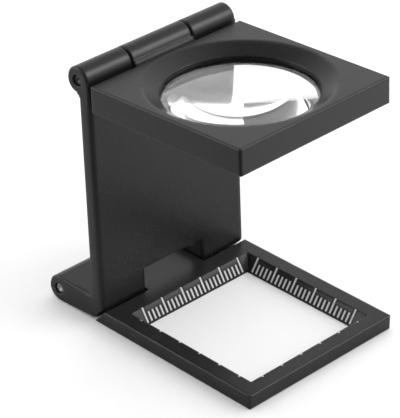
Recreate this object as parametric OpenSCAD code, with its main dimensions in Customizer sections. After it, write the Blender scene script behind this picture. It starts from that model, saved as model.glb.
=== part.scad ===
// Folding loupe for counting threads: a graduated base frame, an upright and a
// lens holder, three leaves on two hinges. The lens holder folds up and over to
// the back of the upright, and the base folds up behind both.
// Millimetres. Origin: middle of the footprint on the table, +Z up, and +Y
// points from the open front to the hinges. The model stands fully open.

/* [Base] */
// Width of the base and of the upright
leaf_w = 37.2; // [34:0.2:41]
// Thickness of the base
base_t = 3; // [2.6:0.1:3.6]
// Width of the rails at the sides of the opening
side_rail = 3.3; // [2.8:0.1:4]
// Width of the rail in front of the opening
front_rail = 3; // [2.4:0.1:4]
// Width of the rail behind the opening, up to the rear top edge of the base
rear_rail = 3.7; // [3:0.1:5]
// Rear top edge of the base to the hinge axis
base_shoulder = 12.5; // [12.2:0.1:13.4]

/* [Graduated opening] */
// Spacing of the marks
mark_step = 1; // [1, 2.5, 5]
// Spacing of the long marks
long_step = 5; // [5, 10]
// Least length of bevel left plain between the scale and a corner
scale_end = 0.8; // [0.5:0.1:1]
// Width of the bevels, seen from above
bevel_run = 1.65; // [1:0.05:2]
// Height of the plain land under the bevels
land_h = 0.5; // [0.3:0.1:1]
// Width of a mark
mark_w = 0.5; // [0.3:0.02:0.6]
// Depth of the groove of a mark
mark_depth = 0.3; // [0.2:0.02:0.36]
// Thickness of the white paint in a groove
paint_t = 0.18; // [0.06:0.02:0.2]
// Length of a short mark as a share of a long one
short_share = 0.66; // [0.4:0.02:0.9]

/* [Upright] */
// Thickness of the upright
plate_t = 2.65; // [2.4:0.05:2.8]
// Lower hinge axis to upper hinge axis, along the upright
pin_spacing = 45.8; // [45:0.2:52]
// Lower hinge axis behind the front face of the upright
lower_setback = 11.85; // [11.6:0.05:12.4]
// Lean of the upright to the back of square, against its stop
lean = 3.3; // [0:0.1:5]
// Gap between the mitred stop faces of the base and the upright
mitre_gap = 0.3; // [0.25:0.05:0.45]
// Height of the bottom notch above the lower hinge axis
notch_h = 4.2; // [3.4:0.1:8]
// Height of an arm above the lower hinge axis, where it leaves the upright
arm_rise = 1.9; // [1:0.1:2.5]

/* [Lens holder] */
// Lens holder past the upright on each side
holder_proud = 0.2; // [0:0.05:0.4]
// Length of the lens holder
holder_l = 36.8; // [36.4:0.1:38]
// Thickness of the lens holder
holder_t = 5.2; // [5:0.1:5.6]
// Gap between the lens holder and the front face of the upright
holder_gap = 0.57; // [0.4:0.01:0.8]
// Narrowest rim of the top face around the dish
dish_rim = 1.1; // [0.8:0.1:1.6]
// Depth of the dished rim
dish_depth = 1.8; // [1.5:0.1:1.8]
// Radius of the rounding where the dish meets the top face
dish_lip = 1.6; // [0.8:0.1:2.4]
// Radius of the lens bore
bore_r = 14.25; // [14:0.05:14.8]
// Width of the seat under the edge of the lens
seat_w = 1; // [0.7:0.1:1.5]

/* [Lens] */
// Radius of curvature of both faces of the lens
lens_curve = 70; // [64:1:80]
// Thickness of the lens at its edge
lens_edge = 1.8; // [1.6:0.05:1.9]
// Top face of the lens holder down to the edge of the lens
lens_drop = 2.65; // [2.6:0.05:2.75]
// Thickness of the wire of the retaining ring
wire_d = 0.6; // [0.5:0.05:0.65]
// Depth of the retaining ring in the wall of the bore
wire_bite = 0.4; // [0.3:0.05:0.45]
// Opening of the split retaining ring, in degrees
ring_split = 14; // [6:1:40]

/* [Hinges] */
// Diameter of the hinge knuckles
knuckle_d = 5.2; // [4.8:0.1:5.3]
// Length of the middle knuckle of each hinge
middle_l = 14.7; // [12:0.1:17]
// Gap at each end of a middle knuckle
knuckle_gap = 0.3; // [0.2:0.05:0.4]
// Diameter of the hinge pins
pin_d = 2.2; // [1.8:0.1:2.4]
// Depth of the pin ends below the faces of the outer knuckles
pin_recess = 0.3; // [0.1:0.05:0.8]
// Running gap around a pin in the middle knuckle
run_gap = 0.05; // [0.03:0.01:0.1]
// Gap around a pin in the outer knuckles that grip it
grip_gap = 0.01; // [0.01:0.01:0.03]
// Bevel around the ends of the hinge pins
pin_bevel = 0.25; // [0.1:0.05:0.3]
// Diameter of the punched dimple in each pin end
dimple_d = 1; // [0.6:0.1:1.2]
// Depth of the dimple
dimple_depth = 0.25; // [0.1:0.05:0.3]

/* [Edges] */
// Radius of the long edges of the leaves
edge_r = 0.3; // [0.15:0.05:0.4]
// Radius of the corners of the base and the lens holder
corner_r = 0.4; // [0.3:0.05:1]
// Radius of the front vertical edges of the upright
front_edge_r = 0.7; // [0.4:0.1:1]
// Radius of the bottom corners of the upright, seen from the front
foot_r = 1.1; // [0.6:0.1:1.5]
// Radius of the hollow fillets at the knuckles
fillet_r = 0.6; // [0.3:0.1:0.7]
// Bevel around the free ends of the knuckles
end_bevel = 0.3; // [0.1:0.05:0.4]
// Bevel around the ends of the knuckles that meet
inner_bevel = 0.2; // [0.1:0.05:0.3]

/* [Hidden] */
$fn = 96;
// Number of sides of the large circles that the lens is cut from
fine_fn = 720;

black_paint = "#2c2c2c";
white_paint = "#f2f2ee";
bright_steel = "#b9bbbd";
dark_steel = "#3a3b3d";
clear_glass = "#dfe9ea";

// Cuts run this far past the faces that they open
over = 1;
// Space round the paint in its groove and round the lens in its bore
fit_gap = 0.03;
// Fills reach this far into what they join
bite = 2;

knuckle_r = knuckle_d / 2;
pin_r = pin_d / 2;
wire_r = wire_d / 2;
pin_l = leaf_w - 2 * pin_recess;
slot_w = middle_l + 2 * knuckle_gap;
outer_l = (leaf_w - slot_w) / 2;

// The opening is square, and sets the length of the base
opening_top = leaf_w - 2 * side_rail;
opening_low = opening_top - 2 * bevel_run;
base_reach = front_rail + opening_top + rear_rail + base_shoulder;

// The lower hinge, which rests on the table with the base
footprint_l = base_reach + knuckle_r;
hinge_y = footprint_l / 2 - knuckle_r;
hinge_z = knuckle_r;
front_y = -footprint_l / 2;

// The stop faces are parallel when the upright leans against its stop
base_mitre = 45 - lean;
shoulder_y = hinge_y - base_shoulder;
base_rear_y = shoulder_y + base_t * tan(base_mitre);

// Rear top edge of the base, seen from the front foot of the upright
edge_up = base_t - hinge_z;
edge_back = lower_setback - base_shoulder * cos(lean) - edge_up * sin(lean);
edge_high = edge_up * cos(lean) - base_shoulder * sin(lean);
mitre_z = edge_back + edge_high + mitre_gap * sqrt(2);
mitre_l = (mitre_z + knuckle_r) * sqrt(2);

// The bevels of the opening
opening_y = front_y + front_rail + opening_top / 2;
bevel_rise = base_t - land_h;
bevel_l = norm([bevel_run, bevel_rise]);
bevel_tilt = atan2(bevel_rise, bevel_run);
marks_per_long = long_step / mark_step;
long_count = floor((opening_low - 2 * scale_end) / long_step);
mark_count = long_count * marks_per_long;
scale_l = long_count * long_step;
short_l = bevel_l * short_share;
paint_end = bevel_l + (mark_depth - paint_t) / tan(bevel_tilt) - fit_gap;
// The grooves run this far below the foot of the bevel, through the land's edge
groove_foot = 0.1;

// An arm's top face rises to the top of its knuckle
arm_l = lower_setback - plate_t;
arm_slope = atan2(knuckle_r - arm_rise, arm_l);

// The upper hinge stands off the back of the upright, so that the lens holder
// lies flat behind it when folded
fold_gap = 0.3;
upper_setback = plate_t + fold_gap;
slot_drop = upper_setback + holder_gap + fold_gap;

// The web from the lens holder to its knuckle: its thickness below the top face,
// then the height, place and slope of the step behind the edge of the holder
web_drop = 2;
web_step = 0.5;
web_foot = 0.5;
web_slope = 0.12;

// The lens and its ring, measured down from the top face of the holder
holder_w = leaf_w + 2 * holder_proud;
dish_r = min(holder_w, holder_l) / 2 - dish_rim;
holder_y = -holder_gap - holder_l / 2;
lens_r = bore_r - fit_gap;
lens_reach = sqrt(lens_curve * lens_curve - lens_r * lens_r);
seat_r = bore_r - seat_w;
seat_sag = sqrt(lens_curve * lens_curve - seat_r * seat_r) - lens_reach;
seat_z = -lens_drop - lens_edge - seat_sag - fit_gap;
dish_slope = atan2(dish_depth, dish_r - bore_r);
lip_run = dish_lip * tan(dish_slope / 2);
ring_r = bore_r + wire_bite - wire_r;
ring_rise = sqrt(pow(lens_curve + wire_r + fit_gap, 2) - ring_r * ring_r) - lens_reach;
ring_z = ring_rise - lens_drop;

// Rectangle with rounded corners, centred
module rounded_outline(w, l, r) {
  square([w - 2 * r, l], center = true);
  square([w, l - 2 * r], center = true);
  for (x = [-1, 1], y = [-1, 1])
    translate([x * (w / 2 - r), y * (l / 2 - r)]) circle(r);
}

// Outline in Y and Z, drawn out along X
module along_x(l) {
  rotate([90, 0, 90]) linear_extrude(l, center = true) children();
}

// Outline in X and Z, drawn out along Y
module along_y(l) {
  rotate([90, 0, 0]) linear_extrude(l, center = true) children();
}

// Flat leaf with rounded corners and rounded long edges, standing on z = 0
module leaf_block(w, l, t) {
  intersection() {
    linear_extrude(t) rounded_outline(w, l, corner_r);
    translate([0, 0, t / 2]) along_x(w) rounded_outline(l, t, edge_r);
    translate([0, 0, t / 2]) along_y(l) rounded_outline(w, t, edge_r);
  }
}

// What a rounding of radius r takes off an edge that runs up from the origin,
// where the material lies towards -X and -Y
module edge_waste(r, l) {
  difference() {
    translate([-r, -r, 0]) cube([r + over, r + over, l]);
    translate([-r, -r, -over]) cylinder(r = r, h = l + 2 * over);
  }
}

// Round bar along X from the origin, bevelled at its two ends
module bar_x(r, l, bevel_a, bevel_b) {
  rotate([0, 90, 0]) {
    cylinder(r1 = r - bevel_a, r2 = r, h = bevel_a);
    translate([0, 0, bevel_a]) cylinder(r = r, h = l - bevel_a - bevel_b);
    translate([0, 0, l - bevel_b]) cylinder(r1 = r, r2 = r - bevel_b, h = bevel_b);
  }
}

// Bore along X through everything, centred on the origin
module bore_x(r) {
  rotate([0, 90, 0]) cylinder(r = r, h = leaf_w + 2 * over, center = true);
}

// The middle knuckle of a hinge, centred on the origin
module middle_knuckle() {
  translate([-middle_l / 2, 0, 0])
    bar_x(knuckle_r, middle_l, inner_bevel, inner_bevel);
}

// The outer knuckles of both hinges, in the upright's own space
module outer_knuckles() {
  for (side = [0, 1], axis = [[lower_setback, 0], [upper_setback, pin_spacing]])
    mirror([side, 0, 0]) translate([slot_w / 2, axis[0], axis[1]])
      bar_x(knuckle_r, outer_l, inner_bevel, end_bevel);
}

// Fills the hollow corner between a flat face along x = 0, with the material
// at -x, and a round bar whose centre is at [away, 0]
module neck_fillet(away, bar_r, r) {
  drop = sqrt(pow(bar_r + r, 2) - pow(away - r, 2));
  difference() {
    polygon([[-bite, 0], [away, 0], [r, -drop], [-bite, -drop]]);
    translate([r, -drop]) circle(r);
  }
}

// Fills the hollow corner at the origin between a flat face up x = 0 and a
// floor that climbs away from it at an angle
module floor_fillet(climb, r) {
  high = r * (1 + sin(climb)) / cos(climb);
  difference() {
    polygon([
      [-bite, -bite],
      [-bite, high],
      [r, high],
      [r + r * sin(climb), high - r * cos(climb)],
      [0, -bite]
    ]);
    translate([r, high]) circle(r);
  }
}

// The upright's own space: y = 0 is its front face, z = 0 the lower hinge axis
module on_upright() {
  translate([0, hinge_y, hinge_z]) rotate([-lean, 0, 0])
    translate([0, -lower_setback, 0]) children();
}

// The top of the upright's space: z = 0 is the upper hinge axis and the top
// face of the open lens holder
module on_upper_hinge() {
  on_upright() translate([0, 0, pin_spacing]) children();
}

// Section across the opening, in one direction
module bevel_section() {
  polygon([
    [-opening_low / 2, land_h],
    [opening_low / 2, land_h],
    [opening_top / 2, base_t],
    [opening_top / 2, base_t + over],
    [-opening_top / 2, base_t + over],
    [-opening_top / 2, base_t]
  ]);
}

// The square opening of the base with its four bevels
module opening_cut() {
  translate([0, opening_y, 0]) {
    translate([-opening_low / 2, -opening_low / 2, -over])
      cube([opening_low, opening_low, base_t + over]);
    intersection() {
      along_x(opening_top + over) bevel_section();
      along_y(opening_top + over) bevel_section();
    }
  }
}

// Puts its children on the rear bevel, turned a number of quarter turns about
// the middle of the opening: x along the side, y up the bevel, z out of it
module on_bevel(quarter) {
  translate([0, opening_y, 0]) rotate([0, 0, 90 * quarter])
    translate([0, opening_low / 2, land_h]) rotate([bevel_tilt, 0, 0]) children();
}

// True for the marks that run to the top of the bevel
function is_long(i) = i % marks_per_long == 0;

// One bar for each mark of a side, from low up to long_l or short_l, sunk by
// depth and t thick
module mark_row(w, low, long_l, short_l, depth, t) {
  for (i = [0:mark_count])
    translate([i * mark_step - scale_l / 2 - w / 2, low, -depth])
      cube([w, (is_long(i) ? long_l : short_l) - low, t]);
}

// The grooves of one side: the long ones break out of the top face
module mark_grooves() {
  mark_row(mark_w, -groove_foot, bevel_l + over, short_l, mark_depth,
    mark_depth + over);
}

// The white paint in the grooves of one side
module mark_paint() {
  mark_row(mark_w - 2 * fit_gap, fit_gap, paint_end, short_l - fit_gap,
    mark_depth - fit_gap, paint_t);
}

// Side view of the base, cut back at the mitre behind its shoulder
module base_section() {
  polygon([
    [front_y - over, -over],
    [base_rear_y + over * tan(base_mitre), -over],
    [shoulder_y - over * tan(base_mitre), base_t + over],
    [front_y - over, base_t + over]
  ]);
}

// The tongue of the base, with the middle knuckle of the lower hinge
module tongue() {
  tongue_l = base_shoulder + over;
  translate([-middle_l / 2, hinge_y - tongue_l, 0]) cube([middle_l, tongue_l, base_t]);
  translate([0, hinge_y, base_t]) along_x(middle_l)
    mirror([1, -1]) neck_fillet(hinge_z - base_t, knuckle_r, fillet_r);
  translate([0, hinge_y, hinge_z]) middle_knuckle();
}

// The base frame
module base_frame() {
  plate_l = base_rear_y + 2 * corner_r - front_y;
  color(black_paint) difference() {
    union() {
      intersection() {
        translate([0, front_y + plate_l / 2, 0]) leaf_block(leaf_w, plate_l, base_t);
        along_x(leaf_w + over) base_section();
      }
      tongue();
    }
    opening_cut();
    for (quarter = [0:3]) on_bevel(quarter) mark_grooves();
    translate([0, hinge_y, hinge_z]) bore_x(pin_r + run_gap);
  }
}

// The white scale of one side
module scale_side(quarter) {
  color(white_paint) on_bevel(quarter) mark_paint();
}

// Side view of the upright and its arms, without the knuckles
module upright_section() {
  polygon([
    [0, mitre_z],
    [0, pin_spacing - knuckle_r],
    [upper_setback - knuckle_r, pin_spacing],
    [upper_setback, pin_spacing],
    [plate_t, pin_spacing - knuckle_r],
    [plate_t, arm_rise],
    [lower_setback, knuckle_r],
    [lower_setback, -knuckle_r],
    [mitre_z + knuckle_r, -knuckle_r]
  ]);
  translate([plate_t, pin_spacing]) neck_fillet(fold_gap, knuckle_r, fillet_r);
  translate([plate_t, arm_rise]) floor_fillet(arm_slope, fillet_r);
}

// What the rounded edges take off the right side of the upright
module upright_edge_waste() {
  clear_top = pin_spacing - knuckle_r - fillet_r;
  translate([leaf_w / 2, 0, -knuckle_r]) mirror([0, 1, 0])
    edge_waste(front_edge_r, pin_spacing + knuckle_r);
  translate([leaf_w / 2, plate_t, arm_rise + fillet_r])
    edge_waste(edge_r, clear_top - arm_rise - fillet_r);
  translate([leaf_w / 2, plate_t, arm_rise]) rotate([arm_slope - 90, 0, 0])
    mirror([0, 1, 0]) edge_waste(edge_r, arm_l + over);
  translate([leaf_w / 2, 0, -knuckle_r]) rotate([-90, 0, 0])
    edge_waste(edge_r, lower_setback + over);
  translate([leaf_w / 2, 0, mitre_z]) rotate([-135, 0, 0]) translate([0, 0, -over])
    edge_waste(foot_r, mitre_l + 2 * over);
}

// The upright, with the outer knuckles of both hinges
module upright() {
  color(black_paint) on_upright() difference() {
    union() {
      difference() {
        along_x(leaf_w) upright_section();
        for (side = [0, 1]) mirror([side, 0, 0]) upright_edge_waste();
      }
      outer_knuckles();
    }
    // the notch that the tongue passes through, and the slot for the web
    translate([-slot_w / 2, -over, -knuckle_r - over])
      cube([slot_w, lower_setback + knuckle_r + 2 * over, notch_h + knuckle_r + over]);
    translate([-slot_w / 2, -over, pin_spacing - slot_drop])
      cube([slot_w, plate_t + knuckle_d + 2 * over, slot_drop + over]);
    for (axis = [[lower_setback, 0], [upper_setback, pin_spacing]])
      translate([0, axis[0], axis[1]]) bore_x(pin_r + grip_gap);
  }
}

// A hinge pin along X with a punched dimple in each end
module hinge_pin() {
  punch_r = (pow(dimple_d / 2, 2) + pow(dimple_depth, 2)) / (2 * dimple_depth);
  punch_out = punch_r - dimple_depth;
  difference() {
    translate([-pin_l / 2, 0, 0]) bar_x(pin_r, pin_l, pin_bevel, pin_bevel);
    for (side = [-1, 1])
      translate([side * (pin_l / 2 + punch_out), 0, 0]) sphere(punch_r);
  }
}

// The pin of the lower hinge
module base_pin() {
  color(bright_steel) translate([0, hinge_y, hinge_z]) hinge_pin();
}

// The pin of the upper hinge
module top_pin() {
  color(dark_steel) on_upper_hinge() translate([0, upper_setback, 0]) hinge_pin();
}

// Side view of the web between the lens holder and its knuckle
module web_section() {
  polygon([
    [-holder_gap - bite, -web_drop],
    [-holder_gap - bite, 0],
    [web_foot - holder_gap, 0],
    [web_foot - holder_gap + web_slope, web_step],
    [upper_setback, web_step],
    [upper_setback, -web_drop]
  ]);
}

// Half section of what is cut out for the lens: dish, bore, seat and light hole
module lens_cut_section() {
  polygon([
    [0, over],
    [dish_r, over],
    [dish_r, 0],
    [bore_r, -dish_depth],
    [bore_r, seat_z],
    [seat_r, seat_z],
    [seat_r, -holder_t - over],
    [0, -holder_t - over]
  ]);
  difference() {
    polygon([
      [dish_r - lip_run, over],
      [dish_r + lip_run, over],
      [dish_r + lip_run, -dish_lip],
      [dish_r - lip_run * cos(dish_slope), -lip_run * sin(dish_slope)]
    ]);
    translate([dish_r + lip_run, -dish_lip]) circle(dish_lip);
  }
}

// The lens holder, with the middle knuckle of the upper hinge
module lens_holder() {
  color(black_paint) on_upper_hinge() difference() {
    union() {
      translate([0, holder_y, -holder_t]) leaf_block(holder_w, holder_l, holder_t);
      along_x(middle_l) web_section();
      translate([0, upper_setback, 0]) middle_knuckle();
    }
    translate([0, holder_y, 0]) rotate_extrude() lens_cut_section();
    translate([0, holder_y, ring_z])
      rotate_extrude() translate([ring_r, 0]) circle(wire_r + fit_gap);
    translate([0, upper_setback, 0]) bore_x(pin_r + run_gap);
  }
}

// Half section of the lens, which has two equal spherical faces
module lens_section() {
  intersection() {
    translate([0, -lens_reach]) circle(lens_curve, $fn = fine_fn);
    translate([0, lens_reach - lens_edge]) circle(lens_curve, $fn = fine_fn);
    translate([0, -holder_t]) square([lens_r, 2 * holder_t]);
  }
}

// The lens
module lens() {
  color(clear_glass, 0.4) on_upper_hinge() translate([0, holder_y, -lens_drop])
    rotate_extrude() lens_section();
}

// The split wire ring that holds the lens down on its seat
module lens_ring() {
  color(black_paint) on_upper_hinge() translate([0, holder_y, ring_z])
    rotate([0, 0, ring_split / 2 - 90])
      rotate_extrude(angle = 360 - ring_split) translate([ring_r, 0]) circle(wire_r);
}

base_frame();
scale_side(0);  // scale_rear
scale_side(1);  // scale_left
scale_side(2);  // scale_front
scale_side(3);  // scale_right
upright();
base_pin();
top_pin();
lens_holder();
lens();
lens_ring();
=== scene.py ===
import math

import bpy
from mathutils import Matrix, Vector

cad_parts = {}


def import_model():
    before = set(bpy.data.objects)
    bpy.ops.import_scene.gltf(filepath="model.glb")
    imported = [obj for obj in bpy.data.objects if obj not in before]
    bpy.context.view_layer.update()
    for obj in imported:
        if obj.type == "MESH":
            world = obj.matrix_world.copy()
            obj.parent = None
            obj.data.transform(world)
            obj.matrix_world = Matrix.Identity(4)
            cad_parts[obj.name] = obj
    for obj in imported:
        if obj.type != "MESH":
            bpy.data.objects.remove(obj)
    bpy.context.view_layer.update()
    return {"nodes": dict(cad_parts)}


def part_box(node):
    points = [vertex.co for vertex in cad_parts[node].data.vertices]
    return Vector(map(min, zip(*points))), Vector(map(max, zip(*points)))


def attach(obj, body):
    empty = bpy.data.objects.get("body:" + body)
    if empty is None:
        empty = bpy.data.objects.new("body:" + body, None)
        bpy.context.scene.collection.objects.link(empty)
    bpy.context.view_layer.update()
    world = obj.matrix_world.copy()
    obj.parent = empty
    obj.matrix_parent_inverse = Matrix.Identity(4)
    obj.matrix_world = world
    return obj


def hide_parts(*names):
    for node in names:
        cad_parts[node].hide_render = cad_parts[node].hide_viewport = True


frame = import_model()

MM = 0.001
UP = (0.0, 0.0, 1.0)
BACK = (0.0, 1.0, 0.0)
WHITE = (1.0, 1.0, 1.0, 1.0)


def grey(level):
    """A plain grey."""
    return (level, level, level)


# The photograph's camera: it was fitted to the object's corners and circles
CAMERA_AZIMUTH = -45.156
CAMERA_ELEVATION = 30.808
CAMERA_ROLL = 0.462
CAMERA_DISTANCE = 453.06 * MM
CAMERA_TARGET = Vector((0.0, 5.08 * MM, 20.04 * MM))
CAMERA_CLIP = (0.01, 20.0)
LONG_SIDE_PX = 418
FOCAL_PX = 2470.4
SENSOR = 36.0

# The lens, with the sizes of its CAD solid, and how finely it is turned
LENS_CURVE = 70.0 * MM
LENS_EDGE = 1.8 * MM
LENS_LEAN = math.radians(3.3)
LENS_RINGS, LENS_SPOKES = 40, 256
LENS_SHARP_ANGLE = math.radians(40)
LENS_RIM_SLOPE = 0.5
LENS_BOUNCES = 16

# Noise: its usual detail, and the ranges of its middle and its peaks
NOISE_DETAIL, NOISE_ROUGHNESS = 3.0, 0.5
NOISE_MIDDLE = (0.3, 0.7)
NOISE_PEAKS = (0.55, 0.8)
BUMP_STRENGTH = 0.5

# Rounded and paler edges: radii, the part of the upright that is rounded more,
# the cosines between which an edge is painted paler, as worn paint and a painted highlight,
# and those between which a face that looks down isn't rounded
BEVEL_SAMPLES = 6
EDGE_ROUND, PLATE_ROUND = 0.55 * MM, 1.30 * MM
PLATE_TOP = (44.0 * MM, 45.5 * MM)
PLATE_REAR = (18.5 * MM, 20.0 * MM)
EDGE_WEAR_AND_HIGHLIGHT = 0.40 * MM
EDGE_BEND = (0.72, 0.985)
OVERHANG = (-0.30, -0.05)

# Black paint: fine on the upright and the holder, coarser on the base
PAINT_GRAIN, PAINT_DEPTH = 0.22 * MM, 0.0015 * MM
COARSE_GRAIN, COARSE_DEPTH = 0.30 * MM, 0.030 * MM
PAINT_CLOUD = 6.0 * MM
GRAIN_DETAIL, CLOUD_DETAIL = 2.0, 4.0
PAINT_DEEP = (0.0095, 0.0095, 0.0098)
PAINT_PALE = (0.0118, 0.0118, 0.0121)
PAINT_FLECK = (0.0150, 0.0150, 0.0153)
# The paler edge colour is worn paint and a painted highlight along the edges
PAINT_EDGE_WEAR_AND_HIGHLIGHT = (0.0130, 0.0130, 0.0133)
PAINT_ROUGH = (0.26, 0.38)
PAINT_GLOSS = 0.25

# White paint of the scale
WHITE_GRAIN, WHITE_DEPTH = 0.12 * MM, 0.01 * MM
WHITE_DEEP = (0.66, 0.66, 0.645)
WHITE_PALE = (0.78, 0.78, 0.765)
WHITE_ROUGH = 0.6

# Turned steel of the pins
TURNING_PITCH, TURNING_DEPTH = 0.09 * MM, 0.002 * MM
PIN_ROUND = 0.06 * MM
STEEL_CLOUD, STEEL_GRAIN = 0.5 * MM, 0.2 * MM
STEEL_ROUGH_SPREAD = 0.08
BRIGHT_DEEP, BRIGHT_PALE = (0.20, 0.20, 0.205), (0.31, 0.31, 0.315)
BRIGHT_ROUGH = 0.45
DARK_DEEP, DARK_PALE = (0.035, 0.035, 0.037), (0.07, 0.07, 0.073)
DARK_ROUGH = 0.36

# Black wire of the lens ring
WIRE_GRAIN, WIRE_DEPTH = 0.15 * MM, 0.003 * MM
WIRE_DEEP, WIRE_PALE = grey(0.004), grey(0.009)
WIRE_ROUGH = (0.24, 0.36)
WIRE_GLOSS = 0.10

# Glass: the polished faces with their dust, and the ground rim
GLASS_DUST, DUST_DETAIL, DUST_ROUGHNESS = 1.6 * MM, 5.0, 0.6
GLASS_DUSTY, GLASS_CLEAR = (0.985, 0.992, 0.990), (0.998, 1.0, 0.999)
GLASS_IOR = 1.52
RIM_GRAIN, RIM_DETAIL = 0.1 * MM, 4.0
RIM_DEPTH, RIM_STRENGTH = 0.006 * MM, 0.6
RIM_DEEP, RIM_PALE = grey(0.008), grey(0.018)
RIM_ROUGH = (0.45, 0.65)
RIM_GLOSS = 0.10

# Floor, with its painted glow and painted shade in gloss
FLOOR_HALF = 0.9
FLOOR_COLOUR = grey(0.90)
FLOOR_LIFT = 0.08
GLOW_LEVEL, GLOW_START, GLOW_FULL = 0.6, 0.03, 0.12
DIM_SHARE, DIM_START, DIM_FULL = 0.8, 0.032, 0.055

# Directions in the room
RIGHT_SIDE = (0.707, -0.707, 0.0)
REAR_SIDE = (0.707, 0.707, 0.0)
CAMERA_SIDE = (-0.707, -0.707, 0.0)
BACKDROP_PLACE = (0.63, 0.63, 0.45)
LEFT_WALL_PLACE = (-0.66, 0.71, 0.25)
WINDOW_PLACE = (0.575, -0.565, 0.592)

# Levels of the room, and the cosines where each part of it starts and is full
LEFT_LEVEL, RIGHT_LEVEL = 0.95, 1.30
FRONT_SHARE, REAR_SHARE = 0.25, 1.75
SIDE_LEVEL, BACKDROP_LEVEL, BACKDROP_START = 0.42, 1.25, 0.3
LEFT_WALL_LEVEL, LEFT_WALL_EDGE, LEFT_WALL_INSIDE = 4.0, 0.85, 0.93
CEILING_SHARE, CEILING_START, CEILING_FULL = 0.62, 0.58, 0.82
WINDOW_LEVEL, WINDOW_EDGE, WINDOW_INSIDE = 6.6, 0.962, 0.985
HALO_LEVEL, HALO_EDGE, HALO_INSIDE = 1.1, 0.60, 0.95
SKY_IN_LENS, SKY_START, SKY_FULL = 1.9, 0.15, 0.45
ZENITH_IN_LENS, ZENITH_START, ZENITH_FULL = 3.0, 0.6, 0.8

# Soft lamp
LAMP_PLACE, LAMP_TARGET = (0.40, -0.41, 0.36), (0.0, 0.0, 0.03)
LAMP_SIDE, LAMP_POWER = 0.4, 0.9


# Node tools

def node(tree, kind, **settings):
    """A new shader node, with its attributes and then its inputs set by name."""
    made = tree.nodes.new(kind)
    for name, value in settings.items():
        if hasattr(made, name):
            setattr(made, name, value)
        else:
            made.inputs[name.replace("_", " ")].default_value = value
    return made


def new_material(name):
    """A material with an empty Principled shader; gives the material, its tree and the shader."""
    material = bpy.data.materials.new(name)
    material.use_nodes = True
    tree = material.node_tree
    tree.nodes.clear()
    shader = node(tree, "ShaderNodeBsdfPrincipled")
    out = node(tree, "ShaderNodeOutputMaterial")
    tree.links.new(shader.outputs["BSDF"], out.inputs["Surface"])
    return material, tree, shader


def noise(tree, size, detail=NOISE_DETAIL, roughness=NOISE_ROUGHNESS):
    """Noise in object space whose features are about size metres across."""
    place = node(tree, "ShaderNodeTexCoord")
    made = node(tree, "ShaderNodeTexNoise", Scale=1.0 / size, Detail=detail, Roughness=roughness)
    tree.links.new(place.outputs["Object"], made.inputs["Vector"])
    return made.outputs["Fac"]


def spread(tree, value, low, high, start=0.0, end=1.0):
    """Maps value from the range start..end to the range low..high."""
    made = node(tree, "ShaderNodeMapRange")
    tree.links.new(value, made.inputs["Value"])
    levels = (("From Min", start), ("From Max", end), ("To Min", low), ("To Max", high))
    for name, level in levels:
        made.inputs[name].default_value = level
    return made.outputs["Result"]


def combine(tree, operation, first, second):
    """One sum, product or other result of two outputs."""
    made = node(tree, "ShaderNodeMath", operation=operation)
    tree.links.new(first, made.inputs[0])
    tree.links.new(second, made.inputs[1])
    return made.outputs[0]


def towards(tree, direction, space="Generated"):
    """How far a world ray points, or a place in object space lies, in a direction."""
    place = node(tree, "ShaderNodeTexCoord")
    dot = node(tree, "ShaderNodeVectorMath", operation="DOT_PRODUCT")
    dot.inputs[1].default_value = direction
    tree.links.new(place.outputs[space], dot.inputs[0])
    return dot.outputs["Value"]


def blend_colours(tree, factor, first, second):
    """Colour that goes from first to second; either may be a colour or an output."""
    made = node(tree, "ShaderNodeMix", data_type="RGBA")
    tree.links.new(factor, made.inputs[0])
    for slot, colour in ((6, first), (7, second)):
        if isinstance(colour, bpy.types.NodeSocket):
            tree.links.new(colour, made.inputs[slot])
        else:
            made.inputs[slot].default_value = (*colour, 1.0)
    return made.outputs[2]


def edge_mask(tree, radius):
    """About 1 along the edges of a solid, and 0 on its flats."""
    rounded = node(tree, "ShaderNodeBevel", samples=BEVEL_SAMPLES, Radius=radius)
    plain = node(tree, "ShaderNodeNewGeometry")
    dot = node(tree, "ShaderNodeVectorMath", operation="DOT_PRODUCT")
    tree.links.new(rounded.outputs["Normal"], dot.inputs[0])
    tree.links.new(plain.outputs["Normal"], dot.inputs[1])
    return spread(tree, dot.outputs["Value"], 1.0, 0.0, *EDGE_BEND)


def rounded_normal(tree, radius):
    """The normal of a solid with its edges rounded, except under its overhangs.

    The radius is a number or an output.
    """
    rounded = node(tree, "ShaderNodeBevel", samples=BEVEL_SAMPLES)
    if isinstance(radius, bpy.types.NodeSocket):
        tree.links.new(radius, rounded.inputs["Radius"])
    else:
        rounded.inputs["Radius"].default_value = radius
    plain = node(tree, "ShaderNodeNewGeometry")
    lift = node(tree, "ShaderNodeVectorMath", operation="DOT_PRODUCT")
    lift.inputs[1].default_value = UP
    tree.links.new(rounded.outputs["Normal"], lift.inputs[0])
    made = node(tree, "ShaderNodeMix", data_type="VECTOR")
    tree.links.new(spread(tree, lift.outputs["Value"], 0.0, 1.0, *OVERHANG), made.inputs[0])
    tree.links.new(plain.outputs["Normal"], made.inputs[4])
    tree.links.new(rounded.outputs["Normal"], made.inputs[5])
    return made.outputs[1]


def bump(tree, shader, height, depth, strength=BUMP_STRENGTH, rounding=None):
    """Gives the shader a bump of depth metres, over edges rounded by a radius."""
    made = node(tree, "ShaderNodeBump", Strength=strength, Distance=depth)
    tree.links.new(height, made.inputs["Height"])
    if rounding:
        tree.links.new(rounded_normal(tree, rounding), made.inputs["Normal"])
    tree.links.new(made.outputs["Normal"], shader.inputs["Normal"])


# Materials

def plate_rounding(tree):
    """The radius of the upright's edges: wide along its plate, and narrow on its knuckles."""
    below_top = spread(tree, towards(tree, UP, "Object"), 1.0, 0.0, *PLATE_TOP)
    before_hinge = spread(tree, towards(tree, BACK, "Object"), 1.0, 0.0, *PLATE_REAR)
    on_plate = combine(tree, "MULTIPLY", below_top, before_hinge)
    return spread(tree, on_plate, EDGE_ROUND, PLATE_ROUND)


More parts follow.
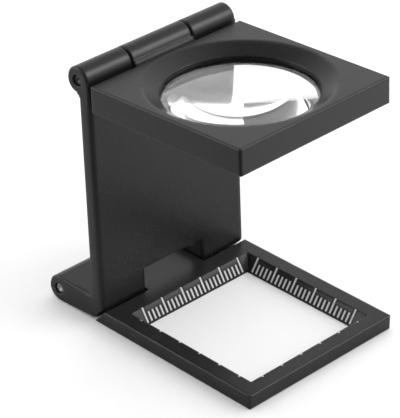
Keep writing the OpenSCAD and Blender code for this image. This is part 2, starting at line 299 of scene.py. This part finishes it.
def black_paint(name, grain_size, grain_depth, plate=False):
    """Satin black paint on cast metal: fine grain, faint clouds, and edges painted paler as worn
    paint and a painted highlight.
    """
    material, tree, shader = new_material(name)
    rounding = plate_rounding(tree) if plate else EDGE_ROUND
    clouds = spread(tree, noise(tree, PAINT_CLOUD, CLOUD_DETAIL), 0.0, 1.0, *NOISE_MIDDLE)
    grain = noise(tree, grain_size, GRAIN_DETAIL)
    body = blend_colours(tree, clouds, PAINT_DEEP, PAINT_PALE)
    fleck = blend_colours(tree, spread(tree, grain, 0.0, 1.0, *NOISE_PEAKS), body, PAINT_FLECK)
    # Paler edges: worn paint and a painted highlight
    edges = edge_mask(tree, EDGE_WEAR_AND_HIGHLIGHT)
    colour = blend_colours(tree, edges, fleck, PAINT_EDGE_WEAR_AND_HIGHLIGHT)
    rough = spread(tree, grain, *PAINT_ROUGH, *NOISE_MIDDLE)
    tree.links.new(colour, shader.inputs["Base Color"])
    tree.links.new(rough, shader.inputs["Roughness"])
    shader.inputs["Specular IOR Level"].default_value = PAINT_GLOSS
    bump(tree, shader, grain, grain_depth, rounding=rounding)
    return material


def white_paint():
    """Matt white paint wiped into the grooves of the scale."""
    material, tree, shader = new_material("white_scale_paint")
    grain = noise(tree, WHITE_GRAIN)
    wear = spread(tree, grain, 0.0, 1.0, *NOISE_MIDDLE)
    tree.links.new(blend_colours(tree, wear, WHITE_DEEP, WHITE_PALE), shader.inputs["Base Color"])
    shader.inputs["Roughness"].default_value = WHITE_ROUGH
    bump(tree, shader, grain, WHITE_DEPTH)
    return material


def turned_steel(name, pin, dark, bright, rough):
    """Bare or blackened steel with the fine rings of turning round a pin's axis."""
    material, tree, shader = new_material(name)
    low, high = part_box(pin)
    axis = (low + high) / 2
    place = node(tree, "ShaderNodeTexCoord")
    centred = node(tree, "ShaderNodeVectorMath", operation="SUBTRACT")
    centred.inputs[1].default_value = axis
    flat = node(tree, "ShaderNodeVectorMath", operation="MULTIPLY")
    flat.inputs[1].default_value = (0.0, 1.0, 1.0)
    radius = node(tree, "ShaderNodeVectorMath", operation="LENGTH")
    turns = node(tree, "ShaderNodeMath", operation="MULTIPLY")
    turns.inputs[1].default_value = 2 * math.pi / TURNING_PITCH
    wave = node(tree, "ShaderNodeMath", operation="SINE")
    tree.links.new(place.outputs["Object"], centred.inputs[0])
    tree.links.new(centred.outputs[0], flat.inputs[0])
    tree.links.new(flat.outputs[0], radius.inputs[0])
    tree.links.new(radius.outputs["Value"], turns.inputs[0])
    tree.links.new(turns.outputs[0], wave.inputs[0])
    rings = spread(tree, wave.outputs[0], 0.0, 1.0, -1.0, 1.0)
    colour = blend_colours(tree, noise(tree, STEEL_CLOUD), dark, bright)
    low_rough, high_rough = rough - STEEL_ROUGH_SPREAD, rough + STEEL_ROUGH_SPREAD
    roughness = spread(tree, noise(tree, STEEL_GRAIN), low_rough, high_rough)
    tree.links.new(colour, shader.inputs["Base Color"])
    tree.links.new(roughness, shader.inputs["Roughness"])
    shader.inputs["Metallic"].default_value = 1.0
    bump(tree, shader, rings, TURNING_DEPTH, rounding=PIN_ROUND)
    return material


def black_wire():
    """Black spring wire with a satin finish."""
    material, tree, shader = new_material("black_spring_wire")
    grain = noise(tree, WIRE_GRAIN)
    tree.links.new(blend_colours(tree, grain, WIRE_DEEP, WIRE_PALE), shader.inputs["Base Color"])
    tree.links.new(spread(tree, grain, *WIRE_ROUGH), shader.inputs["Roughness"])
    shader.inputs["Specular IOR Level"].default_value = WIRE_GLOSS
    bump(tree, shader, grain, WIRE_DEPTH)
    return material


def lens_glass():
    """Polished clear glass with a trace of dust."""
    material, tree, shader = new_material("lens_glass")
    dust = noise(tree, GLASS_DUST, DUST_DETAIL, DUST_ROUGHNESS)
    colour = blend_colours(tree, dust, GLASS_DUSTY, GLASS_CLEAR)
    tree.links.new(colour, shader.inputs["Base Color"])
    shader.inputs["Roughness"].default_value = 0.0
    shader.inputs["Transmission Weight"].default_value = 1.0
    shader.inputs["IOR"].default_value = GLASS_IOR
    return material


def ground_glass():
    """The ground rim of the lens, blackened so that it doesn't glare."""
    material, tree, shader = new_material("ground_glass_rim")
    grain = noise(tree, RIM_GRAIN, RIM_DETAIL)
    tree.links.new(blend_colours(tree, grain, RIM_DEEP, RIM_PALE), shader.inputs["Base Color"])
    tree.links.new(spread(tree, grain, *RIM_ROUGH), shader.inputs["Roughness"])
    shader.inputs["Specular IOR Level"].default_value = RIM_GLOSS
    bump(tree, shader, grain, RIM_DEPTH, strength=RIM_STRENGTH)
    return material


def dress(names, material):
    """Gives a material to CAD nodes."""
    for name in names:
        frame["nodes"][name].data.materials.clear()
        frame["nodes"][name].data.materials.append(material)


# Pieces

def turned_mesh(name, top, profile, bottom, spokes):
    """A closed solid turned round Z, from its top pole down its profile to its bottom pole."""
    points = [(0.0, 0.0, top)]
    for r, z in profile:
        for k in range(spokes):
            turn = 2 * math.pi * k / spokes
            points.append((r * math.cos(turn), r * math.sin(turn), z))
    points.append((0.0, 0.0, bottom))
    faces, last = [], len(points) - 1
    for k in range(spokes):
        after = (k + 1) % spokes
        faces.append((0, 1 + k, 1 + after))
        for i in range(len(profile) - 1):
            a, b = 1 + i * spokes, 1 + (i + 1) * spokes
            faces.append((a + k, b + k, b + after, a + after))
        b = 1 + (len(profile) - 1) * spokes
        faces.append((b + k, last, b + after))
    mesh = bpy.data.meshes.new(name)
    mesh.from_pydata(points, [], faces)
    return mesh


def lens_piece():
    """The lens as a finely turned solid, so that its two faces refract smoothly."""
    low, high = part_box("lens")
    centre = (low + high) / 2
    radius = (high.x - low.x) / 2
    reach = math.sqrt(LENS_CURVE ** 2 - radius ** 2)

    def face_height(r):
        return LENS_EDGE / 2 + math.sqrt(LENS_CURVE ** 2 - r ** 2) - reach

    radii = [radius * i / LENS_RINGS for i in range(1, LENS_RINGS + 1)]
    upper = [(r, face_height(r)) for r in radii]
    lower = [(r, -face_height(r)) for r in reversed(radii)]
    top = face_height(0.0)
    mesh = turned_mesh("loupe_lens", top, upper + lower, -top, LENS_SPOKES)
    mesh.transform(Matrix.Translation(centre) @ Matrix.Rotation(-LENS_LEAN, 4, "X"))
    mesh.shade_smooth()
    mesh.set_sharp_from_angle(angle=LENS_SHARP_ANGLE)
    mesh.materials.append(lens_glass())
    mesh.materials.append(ground_glass())
    lens_axis = Vector((0.0, math.sin(LENS_LEAN), math.cos(LENS_LEAN)))
    for face in mesh.polygons:
        if abs(face.normal.dot(lens_axis)) < LENS_RIM_SLOPE:
            face.material_index = 1
    lens = bpy.data.objects.new("loupe_lens", mesh)
    bpy.context.scene.collection.objects.link(lens)
    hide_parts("lens")
    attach(lens, "lens_holder")


# Stage, light and camera

def seen_background(tree, plain, seen):
    """Mixes two shaders: seen for camera and transmission rays, else plain."""
    path = node(tree, "ShaderNodeLightPath")
    camera_ray, lens_ray = path.outputs["Is Camera Ray"], path.outputs["Is Transmission Ray"]
    mix = node(tree, "ShaderNodeMixShader")
    tree.links.new(combine(tree, "MAXIMUM", camera_ray, lens_ray), mix.inputs["Fac"])
    tree.links.new(plain, mix.inputs[1])
    tree.links.new(seen, mix.inputs[2])
    return mix.outputs[0]


def add_shaders(tree, first, second):
    """The sum of two shaders."""
    made = node(tree, "ShaderNodeAddShader")
    tree.links.new(first, made.inputs[0])
    tree.links.new(second, made.inputs[1])
    return made.outputs[0]


def floor():
    """Plain pale floor that shows white and keeps the object's shadow.

    In gloss it has painted light that grows brighter towards the window, and painted shade
    towards the camera.
    """
    mesh = bpy.data.meshes.new("studio_floor")
    corners = ((-1, -1), (1, -1), (1, 1), (-1, 1))
    points = [(FLOOR_HALF * x, FLOOR_HALF * y, 0.0) for x, y in corners]
    mesh.from_pydata(points, [], [(0, 1, 2, 3)])
    material = bpy.data.materials.new("studio_floor")
    material.use_nodes = True
    tree = material.node_tree
    tree.nodes.clear()

    matt = node(tree, "ShaderNodeBsdfDiffuse", Color=(*FLOOR_COLOUR, 1.0))
    lift = node(tree, "ShaderNodeEmission", Color=WHITE, Strength=FLOOR_LIFT)
    seen = add_shaders(tree, matt.outputs[0], lift.outputs[0])

    # Painted light: in gloss the floor glows more towards the window
    in_gloss = node(tree, "ShaderNodeLightPath").outputs["Is Glossy Ray"]
    to_window = towards(tree, RIGHT_SIDE, "Object")
    near_window = spread(tree, to_window, 0.0, GLOW_LEVEL, GLOW_START, GLOW_FULL)
    glow = node(tree, "ShaderNodeEmission", Color=WHITE)
    tree.links.new(combine(tree, "MULTIPLY", in_gloss, near_window), glow.inputs["Strength"])
    # Painted shade: in gloss the floor is darker towards the camera
    to_camera = towards(tree, CAMERA_SIDE, "Object")
    near_camera = spread(tree, to_camera, 0.0, DIM_SHARE, DIM_START, DIM_FULL)
    dim = combine(tree, "MULTIPLY", in_gloss, near_camera)
    dim_matt = node(tree, "ShaderNodeBsdfDiffuse")
    dimmed = blend_colours(tree, dim, FLOOR_COLOUR, grey(0.0))
    tree.links.new(dimmed, dim_matt.inputs["Color"])
    plain = add_shaders(tree, dim_matt.outputs[0], glow.outputs[0])

    out = node(tree, "ShaderNodeOutputMaterial")
    tree.links.new(seen_background(tree, plain, seen), out.inputs["Surface"])
    mesh.materials.append(material)
    made = bpy.data.objects.new("studio_floor", mesh)
    bpy.context.scene.collection.objects.link(made)


def background(tree, level):
    """A white background as bright as an output says."""
    made = node(tree, "ShaderNodeBackground", Color=WHITE)
    tree.links.new(level, made.inputs["Strength"])
    return made.outputs[0]


def world():
    """A pale room, brighter to the right and behind; the camera sees plain white.

    In gloss it has a backdrop behind, a bright wall at the left rear, a dim ceiling,
    and a bright window with a soft halo to the right. Through the lens its sky is
    brighter than white, and brightest overhead.
    """
    made = bpy.data.worlds.new("studio")
    bpy.context.scene.world = made
    made.use_nodes = True
    tree = made.node_tree
    tree.nodes.clear()

    def part(place, low, high, start, end):
        return spread(tree, towards(tree, place), low, high, start, end)

    sides = part(RIGHT_SIDE, LEFT_LEVEL, RIGHT_LEVEL, -1.0, 1.0)
    depth = part(REAR_SIDE, FRONT_SHARE, REAR_SHARE, -1.0, 1.0)
    room = background(tree, combine(tree, "MULTIPLY", sides, depth))

    backdrop = part(BACKDROP_PLACE, SIDE_LEVEL, BACKDROP_LEVEL, BACKDROP_START, 1.0)
    left_wall = part(LEFT_WALL_PLACE, 0.0, LEFT_WALL_LEVEL, LEFT_WALL_EDGE, LEFT_WALL_INSIDE)
    walls = combine(tree, "ADD", backdrop, left_wall)
    overhead = part(UP, 1.0, CEILING_SHARE, CEILING_START, CEILING_FULL)
    pane = part(WINDOW_PLACE, 0.0, WINDOW_LEVEL, WINDOW_EDGE, WINDOW_INSIDE)
    halo = part(WINDOW_PLACE, 0.0, HALO_LEVEL, HALO_EDGE, HALO_INSIDE)
    window = combine(tree, "ADD", pane, halo)
    under_ceiling = combine(tree, "MULTIPLY", walls, overhead)
    gloss = background(tree, combine(tree, "ADD", under_ceiling, window))

    path = node(tree, "ShaderNodeLightPath")
    lit = node(tree, "ShaderNodeMixShader")
    tree.links.new(path.outputs["Is Glossy Ray"], lit.inputs["Fac"])
    tree.links.new(room, lit.inputs[1])
    tree.links.new(gloss, lit.inputs[2])

    sky = part(UP, 0.0, SKY_IN_LENS - 1.0, SKY_START, SKY_FULL)
    zenith = part(UP, 0.0, ZENITH_IN_LENS - SKY_IN_LENS, ZENITH_START, ZENITH_FULL)
    lens_ray = path.outputs["Is Transmission Ray"]
    in_lens = combine(tree, "MULTIPLY", lens_ray, combine(tree, "ADD", sky, zenith))
    level_seen = spread(tree, in_lens, 1.0, ZENITH_IN_LENS, 0.0, ZENITH_IN_LENS - 1.0)
    seen = background(tree, level_seen)

    out = node(tree, "ShaderNodeOutputWorld")
    tree.links.new(seen_background(tree, lit.outputs[0], seen), out.inputs["Surface"])


def key_lamp():
    """One soft square lamp to the right of the camera."""
    data = bpy.data.lights.new("lamp_key", "AREA")
    data.shape = "RECTANGLE"
    data.size = data.size_y = LAMP_SIDE
    data.energy = LAMP_POWER
    lamp = bpy.data.objects.new("lamp_key", data)
    aim = Vector(LAMP_TARGET) - Vector(LAMP_PLACE)
    lamp.location = LAMP_PLACE
    lamp.rotation_mode = "QUATERNION"
    lamp.rotation_quaternion = aim.to_track_quat("-Z", "Y")
    bpy.context.scene.collection.objects.link(lamp)


def camera():
    """The photograph's view: azimuth 0 looks along +Y, and the roll is about the view."""
    azimuth, elevation = math.radians(CAMERA_AZIMUTH), math.radians(CAMERA_ELEVATION)
    back = Vector((
        math.sin(azimuth) * math.cos(elevation),
        -math.cos(azimuth) * math.cos(elevation),
        math.sin(elevation),
    ))
    level = Vector(UP).cross(back).normalized()
    upright = back.cross(level)
    roll = math.radians(CAMERA_ROLL)
    right = level * math.cos(roll) + upright * math.sin(roll)
    up = upright * math.cos(roll) - level * math.sin(roll)
    data = bpy.data.cameras.new("camera")
    data.sensor_width = SENSOR
    data.lens = SENSOR * FOCAL_PX / LONG_SIDE_PX
    data.clip_start, data.clip_end = CAMERA_CLIP
    made = bpy.data.objects.new("camera", data)
    turn = Matrix((right, up, back)).transposed().to_4x4()
    made.matrix_world = Matrix.Translation(CAMERA_TARGET + back * CAMERA_DISTANCE) @ turn
    bpy.context.scene.collection.objects.link(made)
    bpy.context.scene.camera = made


def light_paths():
    """Lets light be reflected from rim to rim inside the lens before it is lost."""
    settings = bpy.context.scene.cycles
    settings.max_bounces = settings.transmission_bounces = LENS_BOUNCES
    settings.glossy_bounces = LENS_BOUNCES


dress(["base_frame"], black_paint("satin_black_base", COARSE_GRAIN, COARSE_DEPTH))
dress(["upright"], black_paint("satin_black_upright", PAINT_GRAIN, PAINT_DEPTH, plate=True))
dress(["lens_holder"], black_paint("satin_black_holder", PAINT_GRAIN, PAINT_DEPTH))
dress(["scale_rear", "scale_left", "scale_front", "scale_right"], white_paint())
dress(["base_pin"],
      turned_steel("bright_turned_steel", "base_pin", BRIGHT_DEEP, BRIGHT_PALE, BRIGHT_ROUGH))
dress(["top_pin"],
      turned_steel("dark_turned_steel", "top_pin", DARK_DEEP, DARK_PALE, DARK_ROUGH))
dress(["lens_ring"], black_wire())
lens_piece()
floor()
world()
key_lamp()
camera()
light_paths()
bpy.context.scene.view_settings.view_transform = "Standard"
